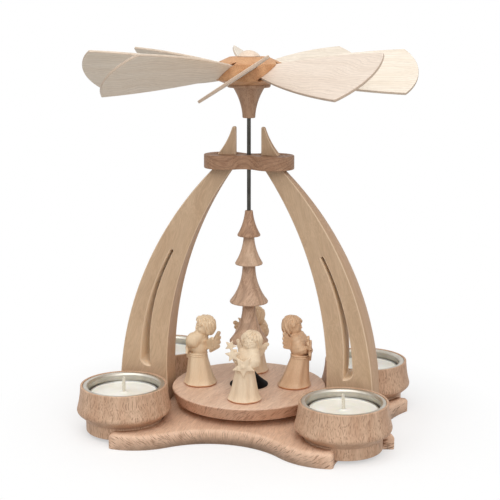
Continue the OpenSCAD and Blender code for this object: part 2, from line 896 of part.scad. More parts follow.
base_plate();
leg_left();
leg_right();
leg_dowels();
bridge();
pivot_bearing();
for (i = [1:CUPS]) {
    candle_cup(i);
    cup_insert(i);
    tealight_can(i);
    tealight_wax(i);
    tealight_wick(i);
}
spindle_rod();
rotor_hub();
hub_cone();
hub_dome();
platform();
platform_collar();
tree_trunk();
for (i = [1:len(skirt_h)])
    tree_skirt(i);
for (i = [1:BLADES])
    blade(i);
for (i = [1:len(ANGELS)])
    angel(i);
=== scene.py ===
"""Looks of the christmas pyramid: softened and turned wooden pieces, metal cups, wax and carved angels."""

import math

import bmesh
import bpy
import numpy as np
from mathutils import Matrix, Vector


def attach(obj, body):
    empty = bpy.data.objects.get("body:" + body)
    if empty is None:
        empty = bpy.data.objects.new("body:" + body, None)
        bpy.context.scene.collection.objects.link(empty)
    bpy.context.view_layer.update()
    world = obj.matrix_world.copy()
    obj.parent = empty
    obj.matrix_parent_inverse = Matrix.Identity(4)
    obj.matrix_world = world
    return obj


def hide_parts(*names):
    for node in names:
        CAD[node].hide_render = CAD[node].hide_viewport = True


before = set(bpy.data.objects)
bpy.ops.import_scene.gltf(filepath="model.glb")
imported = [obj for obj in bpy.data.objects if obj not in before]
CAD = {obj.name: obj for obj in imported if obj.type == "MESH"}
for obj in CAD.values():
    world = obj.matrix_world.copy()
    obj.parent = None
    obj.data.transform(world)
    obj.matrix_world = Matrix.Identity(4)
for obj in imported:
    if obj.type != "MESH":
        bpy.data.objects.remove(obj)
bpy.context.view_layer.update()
MM = 0.001

# Sizes and places that the CAD source gives, in millimetres and degrees.
CUP_X, CUP_Y = 61.73, 39.93
CUPS = {1: (-CUP_X, -CUP_Y), 2: (CUP_X, -CUP_Y), 3: (CUP_X, CUP_Y), 4: (-CUP_X, CUP_Y)}
PLATFORM_TOP = 19.5
ROTOR_START = -81.1
ANGEL_RING = 27.0
# The legs' slots: middle and radius of the outer side, width with some room, lowest and highest point.
SLOT_MIDDLE, SLOT_R, SLOT_WIDTH = (-84.2, 27.8), 146.0, 6.0
SLOT_ENDS = 29.0, 99.0

# Heights in metres between which the colour of the angels' hems fades.
HEM_FADE = 0.0202, 0.02075
# A wave texture of scale 1 has this many units in a wave.
WAVE = 0.314


# Materials

class Graph:
    """A material's node tree, filled by short calls."""

    def __init__(self, name):
        self.mat = bpy.data.materials.new(name)
        self.mat.use_nodes = True
        self.tree = self.mat.node_tree
        self.tree.nodes.clear()

    def add(self, kind, inputs=None, **props):
        node = self.tree.nodes.new(kind)
        for key, value in props.items():
            setattr(node, key, value)
        for key, value in (inputs or {}).items():
            self.set(node.inputs[key], value)
        return node

    def set(self, socket, value):
        if isinstance(value, bpy.types.NodeSocket):
            self.tree.links.new(value, socket)
        else:
            socket.default_value = value

    def millimetres(self, turn=(0, 0, 0), shift=(0, 0, 0)):
        """The object's coordinates in millimetres, turned and shifted."""
        place = self.add("ShaderNodeTexCoord").outputs["Object"]
        return self.scaled(place, (1 / MM, 1 / MM, 1 / MM), turn, shift)

    def scaled(self, vector, scale, turn=(0, 0, 0), shift=(0, 0, 0)):
        inputs = {"Vector": vector, "Scale": scale, "Rotation": turn, "Location": shift}
        return self.add("ShaderNodeMapping", inputs).outputs["Vector"]

    def split(self, vector):
        return self.add("ShaderNodeSeparateXYZ", {0: vector}).outputs

    def join(self, x=0.0, y=0.0, z=0.0):
        return self.add("ShaderNodeCombineXYZ", {"X": x, "Y": y, "Z": z}).outputs[0]

    def noise(self, vector, detail=2.0, rough=0.5, scale=1.0):
        inputs = {"Vector": vector, "Scale": scale, "Detail": detail, "Roughness": rough}
        return self.add("ShaderNodeTexNoise", inputs).outputs["Fac"]

    def spread(self, value, low, high, to_low=0.0, to_high=1.0):
        inputs = {"Value": value, "From Min": low, "From Max": high, "To Min": to_low, "To Max": to_high}
        return self.add("ShaderNodeMapRange", inputs).outputs["Result"]

    def math(self, operation, a, b=0.0):
        return self.add("ShaderNodeMath", {0: a, 1: b}, operation=operation).outputs[0]

    def vector(self, operation, a, b):
        return self.add("ShaderNodeVectorMath", {0: a, 1: b}, operation=operation).outputs[0]

    def hypot(self, a, b):
        """The distance that goes a one way and b across it."""
        squares = self.math("ADD", self.math("MULTIPLY", a, a), self.math("MULTIPLY", b, b))
        return self.math("POWER", squares, 0.5)

    def mix(self, factor, a, b, blend="MIX"):
        node = self.add("ShaderNodeMix", data_type="RGBA", blend_type=blend)
        self.set(node.inputs[0], factor)
        self.set(node.inputs[6], a)
        self.set(node.inputs[7], b)
        return node.outputs[2]

    def bump(self, height, strength, distance):
        inputs = {"Height": height, "Strength": strength, "Distance": distance}
        return self.add("ShaderNodeBump", inputs).outputs["Normal"]

    def finish(self, **inputs):
        shader = self.add("ShaderNodeBsdfPrincipled")
        for key, value in inputs.items():
            self.set(shader.inputs[key.replace("_", " ")], value)
        out = self.add("ShaderNodeOutputMaterial")
        self.tree.links.new(shader.outputs[0], out.inputs[0])
        return self.mat


def rgb(red, green, blue):
    """A colour given as it shows on a screen, 0 to 255, as linear light."""
    def linear(c):
        c /= 255
        return c / 12.92 if c <= 0.04045 else ((c + 0.055) / 1.055) ** 2.4
    return (linear(red), linear(green), linear(blue), 1.0)


def shade(colour, share):
    """A colour with a share of its light."""
    return tuple(min(1.0, c * share) for c in colour[:3]) + (1.0,)


FLECK = rgb(116, 70, 45)
LEG_FLANK = (0.98, 0.86, 0.78, 1.0)
# A painted highlight for the edges of the legs' front faces.
LEG_EDGE_HIGHLIGHT = rgb(232, 206, 176)
# Painted light that makes the walls of the legs' slots pale.
SLOT_WALL_PAINTED_LIGHT = rgb(250, 228, 199)


def wavy(g, mm):
    """Coordinates that sway sideways along the grain."""
    slow = {"Vector": g.scaled(mm, (0.16, 0.11, 0.11)), "Scale": 1.0, "Detail": 1.0}
    sway = g.add("ShaderNodeTexNoise", slow).outputs["Color"]
    return g.vector("ADD", mm, g.vector("MULTIPLY", sway, (0.0, 3.0, 3.0)))


def bent_grain(g, mm):
    """Coordinates whose grain bends in long waves."""
    wave = g.noise(g.scaled(mm, (0.03, 0.05, 0.05)), 1.0)
    side, lift = g.spread(wave, 0.0, 1.0, -6.0, 6.0), g.spread(wave, 0.0, 1.0, 5.0, -5.0)
    return g.vector("ADD", mm, g.join(y=side, z=lift))


def rays(g, mm, pith):
    """Coordinates along the grain, round the pith and out from it, for thin plates that stand on the pith.
    The pith is given by its place across the grain and the number of plates in a turn of one radian."""
    split = g.split(wavy(g, mm))
    across = g.math("SUBTRACT", split[1], pith[0])
    above = g.math("SUBTRACT", split[2], pith[1])
    turn = g.math("MULTIPLY", g.math("ARCTAN2", above, across), pith[2])
    return g.join(g.math("MULTIPLY", split[0], 0.16), turn, g.math("MULTIPLY", g.hypot(across, above), 0.2))


def fleck_mask(g, mm, pith, upright, strength):
    """The short dark rays of beech, fainter on faces that look up. They fan out from a pith."""
    spot = rays(g, mm, pith) if pith else g.scaled(wavy(g, mm), (0.125, 1.75, 1.75))
    ray = g.add("ShaderNodeTexVoronoi", {"Vector": spot, "Scale": 1.0, "Randomness": 1.0})
    depth = g.add("ShaderNodeSeparateColor", {0: ray.outputs["Color"]}).outputs[0]
    near = g.spread(ray.outputs["Distance"], 0.46, 0.26)
    mask = g.math("MULTIPLY", near, g.spread(depth, 0.0, 1.0, 0.4, 1.0))
    on_top = 0.3 if pith else 0.6
    return g.math("MULTIPLY", mask, g.spread(upright, 0.0, 1.0, on_top * strength, strength))


def ring_lines(g, bent, width):
    """The lines of year rings, drawn out along the grain."""
    inputs = {"Vector": g.scaled(bent, (0.14, 1, 1)), "Scale": WAVE / width, "Distortion": 4.0, "Detail": 2.0,
              "Detail Scale": 0.6}
    return g.spread(g.add("ShaderNodeTexWave", inputs, bands_direction="Y").outputs["Fac"], 0.66, 0.97)


def in_slot(g):
    """One in the slots of the legs, nought elsewhere: where the slot walls get painted light."""
    split = g.split(g.millimetres())
    out = g.math("SUBTRACT", g.math("ABSOLUTE", split[0]), SLOT_MIDDLE[0])
    radius = g.hypot(out, g.math("SUBTRACT", split[2], SLOT_MIDDLE[1]))
    inner, outer = SLOT_R - SLOT_WIDTH, SLOT_R + 0.5
    across = g.math("MULTIPLY", g.spread(radius, inner - 1.0, inner), g.spread(radius, outer + 0.5, outer))
    low, high = SLOT_ENDS
    along = g.math("MULTIPLY", g.spread(split[2], low - 0.5, low), g.spread(split[2], high + 0.5, high))
    return g.math("MULTIPLY", across, along)


def leg_faces(g, colour, facing):
    """The colour of a leg, tinted on its flanks, with painted light in its slot and a painted highlight on
    its front's edges.
    """
    front = g.math("MULTIPLY", facing[1], facing[1])
    between = g.math("MULTIPLY", front, g.math("SUBTRACT", 1.0, front))
    colour = g.mix(g.spread(front, 0.3, 0.1, 0.0, 0.8), colour, LEG_FLANK, "MULTIPLY")
    # Painted light: the slot walls are made paler, standing in for light that reaches into the slots.
    colour = g.mix(g.math("MULTIPLY", in_slot(g), g.spread(front, 0.3, 0.1, 0.0, 0.9)), colour, SLOT_WALL_PAINTED_LIGHT)
    # Painted highlight: the edges of the front faces are made paler.
    return g.mix(g.spread(between, 0.08, 0.2, 0.0, 0.75), colour, LEG_EDGE_HIGHLIGHT)


def wood(name, pale, deep, grain=(0, 0, 0), shift=(0, 0, 0), bands=0.8, fibres=0.35, rings=(0, 0), fleck=0.0,
         flecks=FLECK, pith=None, rim=None, hem=None, leg=False, rough=0.55, relief=0.25):
    """Bare wood whose grain runs along X after the turn. Rings are a strength and a width, fleck is the
    strength of the flecks. Upright faces take some of the rim colour, and the foot of an angel
    the hem colour."""
    g = Graph(name)
    coords = g.add("ShaderNodeTexCoord").outputs
    mm = g.millimetres(grain, shift)
    bent = bent_grain(g, mm)
    band = g.noise(g.scaled(bent, (0.012, 0.26, 0.16)), 3.0, 0.55)
    fibre = g.noise(g.scaled(bent, (0.09, 2.4, 2.1)), 4.0, 0.62)
    pore = g.noise(g.scaled(bent, (0.7, 5.5, 5.5)), 2.0, 0.6)
    dark, light = shade(deep, 0.62), shade(pale, 1.14)
    colour = g.mix(g.math("MULTIPLY", g.spread(band, 0.32, 0.7), bands), pale, deep)
    colour = g.mix(g.math("MULTIPLY", g.spread(fibre, 0.42, 0.72), fibres), colour, dark)
    colour = g.mix(g.math("MULTIPLY", g.spread(fibre, 0.5, 0.3), fibres), colour, light)
    if rings[0]:
        colour = g.mix(g.math("MULTIPLY", ring_lines(g, bent, rings[1]), rings[0]), colour, dark)
    height = g.math("ADD", g.math("MULTIPLY", fibre, 0.6), g.math("MULTIPLY", pore, 0.4))
    facing = g.split(coords["Normal"])
    upright = g.spread(g.math("MULTIPLY", facing[2], facing[2]), 0.6, 0.15)
    if rim:
        tint = g.mix(g.spread(fibre, 0.35, 0.7), rim, shade(rim, 0.7))
        colour = g.mix(g.math("MULTIPLY", upright, 0.75), colour, tint)
    if fleck:
        mask = fleck_mask(g, mm, pith, upright, fleck)
        colour = g.mix(mask, colour, flecks)
        height = g.math("SUBTRACT", height, g.math("MULTIPLY", mask, 0.5))
    if leg:
        colour = leg_faces(g, colour, facing)
    if hem:
        colour = g.mix(g.spread(g.split(coords["Object"])[2], *HEM_FADE, 0.85, 0.0), colour, hem)
    return g.finish(Base_Color=colour, Roughness=g.spread(fibre, 0.3, 0.7, rough - 0.08, rough + 0.1),
                    Specular_IOR_Level=0.35, Normal=g.bump(height, relief, 0.00025))


def metal(name, colour, grime, rough=0.3, centre=(0, 0)):
    """Thin sheet with faint lines round the axis, dulled in patches."""
    g = Graph(name)
    mm = g.millimetres(shift=(-centre[0], -centre[1], 0))
    split = g.split(mm)
    radius = g.hypot(split[0], split[1])
    lines = g.noise(g.join(g.math("MULTIPLY", radius, 7.0), z=g.math("MULTIPLY", split[2], 7.0)), 2.0, 0.6)
    patch = g.noise(mm, 2.0, 0.5, 0.12)
    tint = g.mix(g.spread(patch, 0.35, 0.75), colour, grime)
    tint = g.mix(g.spread(lines, 0.4, 0.8, 0.0, 0.12), tint, shade(grime, 0.6))
    return g.finish(Base_Color=tint, Metallic=1.0, Roughness=g.spread(patch, 0.3, 0.8, rough, rough + 0.18),
                    Normal=g.bump(lines, 0.12, 0.0001))


def turned_by(x=0, y=0, z=0):
    """A turn that is given in degrees."""
    return math.radians(x), math.radians(y), math.radians(z)


UP = turned_by(y=90)
SLANT = turned_by(18, 70)

beech_flat = wood("beech_flat", rgb(236, 200, 172), rgb(216, 176, 146), turned_by(z=-90), fleck=0.8,
                  pith=(4, -24, 95))
beech_round = wood("beech_round", rgb(216, 182, 153), rgb(190, 148, 118), UP, fleck=0.62)
beech_platform = wood("beech_platform", rgb(237, 206, 181), rgb(220, 183, 156), turned_by(z=-78), fleck=0.75,
                      rim=rgb(200, 150, 118), pith=(70, -60, 230))
# The bridge's wood is darker, and its colour is darkened further as painted shade under the rotor.
bridge_wood = wood("bridge_wood", rgb(184, 146, 117), rgb(153, 113, 85), turned_by(60), fleck=0.5,
                   rings=(0.4, 1.9))
skirt_wood = wood("skirt_wood", rgb(212, 180, 153), rgb(186, 149, 122), SLANT, fleck=0.45, rings=(0.5, 3.0))
# Skirt 1, under the rotor, is coloured darker as painted shade.
skirt_deep = wood("skirt_deep", rgb(200, 163, 134), rgb(172, 132, 103), SLANT, (9, 4, 2), fleck=0.5,
                  rings=(0.4, 2.6))
skirt_pale = wood("skirt_pale", rgb(217, 186, 158), rgb(198, 161, 131), SLANT, fleck=0.25, rings=(0.35, 3.0))
# The cone's colour is darkened in part as painted shade under the rotor.
cone_wood = wood("cone_wood", rgb(194, 159, 131), rgb(166, 127, 98), UP, fleck=0.45)
hub_wood = wood("hub_wood", rgb(216, 168, 124), rgb(180, 124, 82), turned_by(0, 20, 25), fleck=0.4,
                flecks=rgb(140, 80, 44))
dome_wood = wood("dome_wood", rgb(238, 222, 204), rgb(224, 198, 174), UP)
# The legs' grain leans by this angle from upright.
LEG_LEAN = 17
LEG = {"pale": rgb(206, 177, 146), "deep": rgb(186, 154, 122), "fibres": 0.3, "bands": 0.6,
       "rings": (0.07, 2.2), "leg": True}
leg_right = wood("leg_right_wood", grain=turned_by(y=90 + LEG_LEAN), **LEG)
leg_left = wood("leg_left_wood", grain=turned_by(y=90 - LEG_LEAN), shift=(40, 9, 3), **LEG)
bearing_metal = metal("bearing_metal", rgb(206, 176, 108), rgb(160, 128, 66), 0.3)
rod_metal = metal("rod_metal", rgb(92, 90, 84), rgb(48, 47, 44), 0.38)


# The blades at the front and at its right are coloured darker than the other six, as painted shade.
BLADES = range(1, 9)
BLADE = rgb(243, 232, 217), rgb(229, 213, 192)
SHADED_BLADES = {1: (rgb(230, 212, 194), rgb(212, 189, 168)), 2: (rgb(235, 220, 205), rgb(219, 201, 184))}


def blade_wood(i):
    # The rim colour paints shade on the blades' upright edges.
    turn = ROTOR_START + 360 / len(BLADES) * (i - 1)
    return wood("blade_wood_%d" % i, *SHADED_BLADES.get(i, BLADE), turned_by(z=-turn), (31 * i, 17 * i, 9 * i),
                fibres=0.28, bands=0.6, rings=(0.2, 1.6), rim=rgb(200, 174, 150), rough=0.6, relief=0.15)


def carved_wood(name, pale, deep, shift):
    return wood(name, pale, deep, UP, shift, fibres=0.2, bands=0.5, hem=rgb(198, 124, 72), rough=0.5,
                relief=0.12)


def wax_white():
    g = Graph("wax")
    mm = g.millimetres()
    cloud = g.noise(mm, 3.0, 0.55, 0.16)
    grain = g.noise(mm, 3.0, 0.6, 1.6)
    colour = g.mix(g.spread(cloud, 0.35, 0.7), rgb(255, 252, 242), rgb(248, 246, 233))
    return g.finish(Base_Color=colour, Roughness=g.spread(grain, 0.3, 0.7, 0.16, 0.26),
                    Subsurface_Weight=0.35, Subsurface_Radius=(0.004, 0.0034, 0.0026),
                    Normal=g.bump(grain, 0.05, 0.0002))


def wick_cotton():
    g = Graph("wick")
    inputs = {"Vector": g.millimetres((0.5, 0.3, 0)), "Scale": 1.1, "Distortion": 1.5, "Detail": 2.0}
    strand = g.add("ShaderNodeTexWave", inputs, bands_direction="DIAGONAL").outputs["Fac"]
    colour = g.mix(strand, rgb(238, 232, 218), rgb(206, 196, 176))
    return g.finish(Base_Color=colour, Roughness=0.75, Normal=g.bump(strand, 0.4, 0.0002))


def collar_black():
    g = Graph("collar_black")
    mm = g.millimetres()
    grain = g.noise(mm, 3.0, 0.6, 2.2)
    dust = g.noise(mm, 4.0, 0.65, 0.4)
    colour = g.mix(g.spread(dust, 0.45, 0.8, 0.0, 0.5), rgb(10, 5, 2), rgb(20, 13, 9))
    return g.finish(Base_Color=colour, Roughness=g.spread(grain, 0.3, 0.7, 0.6, 0.75),
                    Specular_IOR_Level=0.06, Normal=g.bump(grain, 0.2, 0.0002))


wax = wax_white()
wick = wick_cotton()
black = collar_black()


# Pieces

SHARP = math.radians(35)
FLAT = math.radians(0.4)
SAME_POINT = 2e-6
BEVEL_STEPS = 4
FILLET_STEPS = 7
HOLLOW_STEPS = 14
# Edges that stay sharp: round the cups' seats, in the middle of the base, along its foot and its middle line,
# low on the legs, and round their tenons in the bridge.
CUP_SEAT_R, SEAT_ROOM, BASE_MIDDLE_R = 22.0, 0.6, 30.0
BASE_FOOT, BASE_LINE = 0.5, 1
LEG_FOOT = 8.5
TENON_X, TENON_Y = 18, 3.4


def make(name, verts, faces, material, body, node, slot):
    """A smooth mesh piece, given in millimetres, that rides on a body and stands for a CAD node."""
    mesh = bpy.data.meshes.new(name)
    mesh.from_pydata([tuple(c * MM for c in v) for v in verts], [], faces)
    return place(name, mesh, material, body, node, slot)


def place(name, mesh, material, body, node, slot):
    """Puts a mesh in the scene as such a piece."""
    mesh.validate()
    mesh.polygons.foreach_set("use_smooth", [True] * len(mesh.polygons))
    mesh.materials.clear()
    mesh.materials.append(material)
    piece = bpy.data.objects.new(name, mesh)
    bpy.context.scene.collection.objects.link(piece)
    weighted = piece.modifiers.new("weighted", "WEIGHTED_NORMAL")
    weighted.weight = 80
    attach(piece, body)
    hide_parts(node)
    return piece


def arc(centre, start, end, steps):
    """Points on the arc round a centre. Start and end are given from the centre."""
    turn = math.atan2(start[0] * end[1] - start[1] * end[0], float(start @ end))
    points = []
    for s in range(steps + 1):
        c, d = math.cos(turn * s / steps), math.sin(turn * s / steps)
        points.append(centre + np.array((start[0] * c - start[1] * d, start[0] * d + start[1] * c)))
    return points


def fillet(points):
    """Rounds the corners of a line of (r, z) or (r, z, radius) points."""
    line = []
    for k, point in enumerate(points):
        p = np.array(point[:2], float)
        radius = point[2] if len(point) > 2 else 0.0
        if radius <= 0 or k in (0, len(points) - 1):
            line.append(p)
            continue
        a = np.array(points[k - 1][:2], float) - p
        b = np.array(points[k + 1][:2], float) - p
        la, lb = np.linalg.norm(a), np.linalg.norm(b)
        a, b = a / la, b / lb
        half = math.acos(max(-1.0, min(1.0, float(a @ b)))) / 2
        back = min(radius / math.tan(half), 0.49 * la, 0.49 * lb)
        radius = back * math.tan(half)
        centre = p + (a + b) / np.linalg.norm(a + b) * (radius / math.sin(half))
        line += arc(centre, p + a * back - centre, p + b * back - centre, FILLET_STEPS)
    return line


def hollow(p, q, radius):
    """Points on the hollow arc from p to q, without its ends, for a side with the body on its left."""
    p, q = np.array(p, float), np.array(q, float)
    d = q - p
    length = np.linalg.norm(d)
    n = np.array((d[1], -d[0])) / length
    centre = (p + q) / 2 + n * math.sqrt(radius ** 2 - length ** 2 / 4)
    return [tuple(point) for point in arc(centre, p - centre, q - centre, HOLLOW_STEPS)[1:-1]]


def lathe(line, centre, around):
    """Vertices and faces of a turned piece. Points on the axis become one vertex each."""
    verts, rings = [], []
    for r, z in line:
        if r < 1e-4:
            rings.append([len(verts)])
            verts.append((centre[0], centre[1], z))
            continue
        rings.append(list(range(len(verts), len(verts) + around)))
        for k in range(around):
            a = 2 * math.pi * k / around
            verts.append((centre[0] + r * math.cos(a), centre[1] + r * math.sin(a), z))
    faces = []
    for low, high in zip(rings, rings[1:]):
        for k in range(around):
            m = (k + 1) % around
            if len(low) == 1:
                faces.append((low[0], high[m], high[k]))
            elif len(high) == 1:
                faces.append((low[k], low[m], high[0]))
            else:
                faces.append((low[k], low[m], high[m], high[k]))
    return verts, faces


def turned(name, line, material, body, node, slot, centre=(0, 0), around=144):
    """A piece turned from a line of (r, z) or (r, z, fillet) points in millimetres, from axis to axis."""
    verts, faces = lathe(fillet(line), centre, around)
    return make(name, verts, faces, material, body, node, slot)


def softened(node, material, body, slot, width, keep=None):
    """A copy of a CAD node with its sharp edges rounded. keep says of an edge's middle, in millimetres,
    whether that edge is rounded."""
    bm = bmesh.new()
    bm.from_mesh(CAD[node].data)
    bmesh.ops.remove_doubles(bm, verts=bm.verts, dist=SAME_POINT)
    bmesh.ops.dissolve_limit(bm, angle_limit=FLAT, verts=bm.verts, edges=bm.edges)
    sharp = [e for e in bm.edges if e.is_manifold and e.calc_face_angle(0.0) > SHARP]
    if keep:
        sharp = [e for e in sharp if keep((e.verts[0].co + e.verts[1].co) / 2 / MM)]
    bmesh.ops.bevel(bm, geom=sharp, offset=width * MM, segments=BEVEL_STEPS, profile=0.5, affect="EDGES",
                    clamp_overlap=False)
    bmesh.ops.triangulate(bm, faces=[f for f in bm.faces if len(f.verts) > 4])
    for v in bm.verts:
        v.co.z = max(v.co.z, 0.0)
    mesh = bpy.data.meshes.new(node + "_soft")
    bm.to_mesh(mesh)
    bm.free()
    return place(node + "_soft", mesh, material, body, node, slot)


def on_base_rim(p):
    seats = [abs(math.hypot(p.x - x, p.y - y) - CUP_SEAT_R) for x, y in CUPS.values()]
    off_seats = min(seats) > SEAT_ROOM and math.hypot(p.x, p.y) > BASE_MIDDLE_R
    return off_seats and p.z > BASE_FOOT and abs(p.y) > BASE_LINE


def above_base(p):
    return p.z > LEG_FOOT


def off_tenons(p):
    return abs(p.y) > TENON_Y or abs(p.x) > TENON_X


softened("base_plate", beech_flat, "stand", "beech", 2.2, on_base_rim)
softened("leg_right", leg_right, "stand", "leg_wood", 0.8, above_base)
softened("leg_left", leg_left, "stand", "leg_wood", 0.8, above_base)
softened("bridge", bridge_wood, "stand", "bridge_wood", 0.45, off_tenons)
softened("rotor_hub", hub_wood, "spindle", "hub_wood", 0.3)
for i in BLADES:
    softened("blade_%d" % i, blade_wood(i), "spindle", "blade_wood", 0.35)

CUP_BELLY, CUP_RIM, CUP_ARC = (26.43, 13.3), (24.03, 27.7), 55
CUP = [(0, 2), (21.23, 2, 0.5), (21.23, 8.6, 1.2), (*CUP_BELLY, 2.4),
       *hollow(CUP_BELLY, CUP_RIM, CUP_ARC)[3:], (*CUP_RIM, 0.7), (22.8, 27.7, 0.25),
       (22.8, 26.75), (20.5, 26.75), (20.5, 7.2), (0, 7.2)]
INSERT = [(0, 7.3), (20.45, 7.3, 0.6), (20.45, 26.8), (22.6, 26.8, 0.25), (22.75, 27.1, 0.2),
          (22.4, 27.4, 0.25), (20.7, 27.4, 0.7), (19.85, 26.4, 0.8), (19.85, 7.9, 0.8), (0, 7.9)]
CAN = [(0, 8.0), (18.6, 8.0, 0.6), (18.75, 22.3), (19.0, 22.6, 0.2), (19.0, 23.2, 0.25), (18.6, 23.2, 0.2),
       (18.55, 8.4, 0.3), (0, 8.4)]
WAX = [(0, 8.5), (18.4, 8.5, 0.3), (18.5, 22.85, 0.15), (17.6, 22.55, 2.0), (9, 22.45, 4), (2.6, 22.65, 1.5),
       (1.1, 23.2, 0.3), (0.6, 23.2), (0, 23.2)]
for i, at in CUPS.items():
    body = "tealight_%d" % i
    insert_metal = metal("insert_metal_%d" % i, rgb(202, 197, 186), rgb(182, 176, 164), 0.36, at)
    can_metal = metal("can_metal_%d" % i, rgb(216, 216, 214), rgb(204, 204, 201), 0.24, at)
    turned("cup_%d" % i, CUP, beech_round, "stand", "candle_cup_%d" % i, "beech", at)
    turned("insert_%d" % i, INSERT, insert_metal, "stand", "cup_insert_%d" % i, "insert_metal", at)
    turned("can_%d" % i, CAN, can_metal, body, "tealight_can_%d" % i, "can_metal", at)
    turned("wax_%d" % i, WAX, wax, body, "tealight_wax_%d" % i, "wax", at)


def tube(points, radii, around=16):
    """A round bar along points that go up, closed at both ends."""
    points = [np.array(p, float) for p in points]
    verts, faces = [], []
    side = None
    for k, p in enumerate(points):
        ahead = points[min(k + 1, len(points) - 1)] - points[max(k - 1, 0)]
        ahead = ahead / np.linalg.norm(ahead)
        if side is None:
            side = np.cross(ahead, (1, 0, 0))
        side = side - ahead * float(side @ ahead)
        side = side / np.linalg.norm(side)
        other = np.cross(ahead, side)
        for j in range(around):
            a = 2 * math.pi * j / around
            verts.append(tuple(p + radii[k] * (side * math.cos(a) + other * math.sin(a))))
    for k in range(len(points) - 1):
        for j in range(around):
            m = (j + 1) % around
            faces.append((k * around + j, k * around + m, (k + 1) * around + m, (k + 1) * around + j))
    last = (len(points) - 1) * around
    faces.append(tuple(range(around - 1, -1, -1)))
    faces.append(tuple(range(last, last + around)))
    return verts, faces


WICK_FOOT, WICK_HIGH, WICK_R, WICK_LEAN, WICK_STEPS = 22.2, 9.4, 0.9, 0.5, 14
for i, (x, y) in CUPS.items():
    lean = math.radians(70 * i + 20)
    points, radii = [], []
    for s in range(WICK_STEPS + 1):
        t = s / WICK_STEPS
        off = WICK_LEAN * t ** 2
        points.append((x + off * math.cos(lean), y + off * math.sin(lean), WICK_FOOT + WICK_HIGH * t))
        radii.append(WICK_R * (1 - 0.25 * t ** 6) * (1 + 0.05 * math.sin(9 * s)))
    make("wick_%d" % i, *tube(points, radii), wick, "tealight_%d" % i, "tealight_wick_%d" % i, "wick")

PLATFORM = [(0, 12.3), (42.2, 12.3, 0.7), (44.2, 18.9, 0.6), (43.6, PLATFORM_TOP, 0.4), (0, PLATFORM_TOP)]
turned("platform_turned", PLATFORM, beech_platform, "spindle", "platform", "beech", around=256)
COLLAR_FOOT, COLLAR_TOP, COLLAR_ARC = (11, 20.2), (3.4, 27.5), 30
COLLAR = [(0, PLATFORM_TOP), (11, PLATFORM_TOP, 0.3), (*COLLAR_FOOT, 0.3),
          *hollow(COLLAR_FOOT, COLLAR_TOP, COLLAR_ARC), (*COLLAR_TOP, 0.3), (0, 27.5)]
turned("collar_turned", COLLAR, black, "spindle", "platform_collar", "collar_black")
TRUNK = [(0, 27.5), (3.4, 27.5, 0.2), (3.4, 46.6, 0.2), (0, 46.6)]
turned("trunk_turned", TRUNK, skirt_wood, "spindle", "tree_trunk", "beech", around=64)

# Each skirt's foot, height, radius at the foot, at the neck and of what it stands on, its wood and its slot.
SKIRTS = {1: (106.5, 14.7, 6.5, 2.2, 3.0, skirt_deep, "beech"),
          2: (90.3, 16.2, 7.8, 3.0, 3.7, skirt_pale, "pale_skirt"),
          3: (68.2, 22.1, 10.9, 3.7, 3.7, skirt_wood, "beech"),
          4: (45.0, 23.2, 11.1, 3.7, 3.4, skirt_wood, "beech")}
SKIRT_LIP, SKIRT_PEG, SKIRT_ARC = 0.9, 1.6, 32
for i, (z, high, low_r, neck, below, timber, slot) in SKIRTS.items():
    lip, top = (low_r, z + SKIRT_LIP), z + high
    line = [(0, z + SKIRT_PEG), (below + 0.03, z + SKIRT_PEG), (low_r - 0.1, z, 0.8), (*lip, 0.7),
            *hollow(lip, (neck, top), SKIRT_ARC)[1:]]
    if i == 1:
        line += [(neck, top, 0.5), (0, top)]
    else:
        line += [(neck, top, 0.4), (neck, top + SKIRT_PEG), (0, top + SKIRT_PEG)]
    turned("skirt_%d" % i, line, timber, "spindle", "tree_skirt_%d" % i, slot, around=96)

CONE_FOOT, CONE_NECK, CONE_ARC = (3.5, 172.8), (8.8, 189.5), 33
CONE = [(0, 172.8), (*CONE_FOOT, 0.4), *hollow(CONE_FOOT, CONE_NECK, CONE_ARC)[1:], (*CONE_NECK, 0.4),
        (11.6, 189.5, 0.5), (12.0, 190.3, 0.5), (12.0, 191.2, 0.3), (0, 191.2)]
turned("cone_turned", CONE, cone_wood, "spindle", "hub_cone", "cone_wood", around=96)
DOME_R, DOME_HIGH, DOME_TOP = 6.4, 3.5, 209.6
ball = (DOME_R ** 2 + DOME_HIGH ** 2) / (2 * DOME_HIGH)
DOME = [(0, DOME_TOP - DOME_HIGH)] + [(ball * math.sin(t), DOME_TOP - ball + ball * math.cos(t))
                                      for t in np.linspace(math.asin(DOME_R / ball), 0, 16)]
turned("dome_turned", DOME, dome_wood, "spindle", "hub_dome", "blade_wood", around=64)


def dress(node, material):
    """A CAD node that shows as it is, with a better material."""
    CAD[node].data.materials.clear()
    CAD[node].data.materials.append(material)


dress("spindle_rod", rod_metal)
dress("pivot_bearing", bearing_metal)
dress("leg_dowels", beech_flat)


# Carved angels: shapes given by distances in millimetres, +X forward, +Y the angel's left

BELT_Z = 18.1
BELT = (2.45, 0.4)
HEAD = (-2.3, 3.9, 35.0)
HEAD_SIZE = 1.06
LOOK = -14.0
ANGEL_BOX = (-13.0, -13.0, -0.6), (12.0, 14.5, 42.6)
ANGEL_STEP = 0.25
# Each wing's side, sweep, lift, length and fan of the feathers.
WINGS = (1, 121, 25, 12.8, 3), (-1, 131, 48, 10.2, 9)


def smooth_min(a, b, k):
    h = np.clip(0.5 + 0.5 * (b - a) / k, 0.0, 1.0)
    return b + (a - b) * h - k * h * (1.0 - h)


def smooth_max(a, b, k):
    return -smooth_min(-a, -b, k)


def ellipsoid(p, centre, radii):
    q = [(p[i] - centre[i]) for i in range(3)]
    k0 = np.sqrt(sum((q[i] / radii[i]) ** 2 for i in range(3)))
    k1 = np.sqrt(sum((q[i] / radii[i] ** 2) ** 2 for i in range(3))) + 1e-6
    return k0 * (k0 - 1.0) / k1


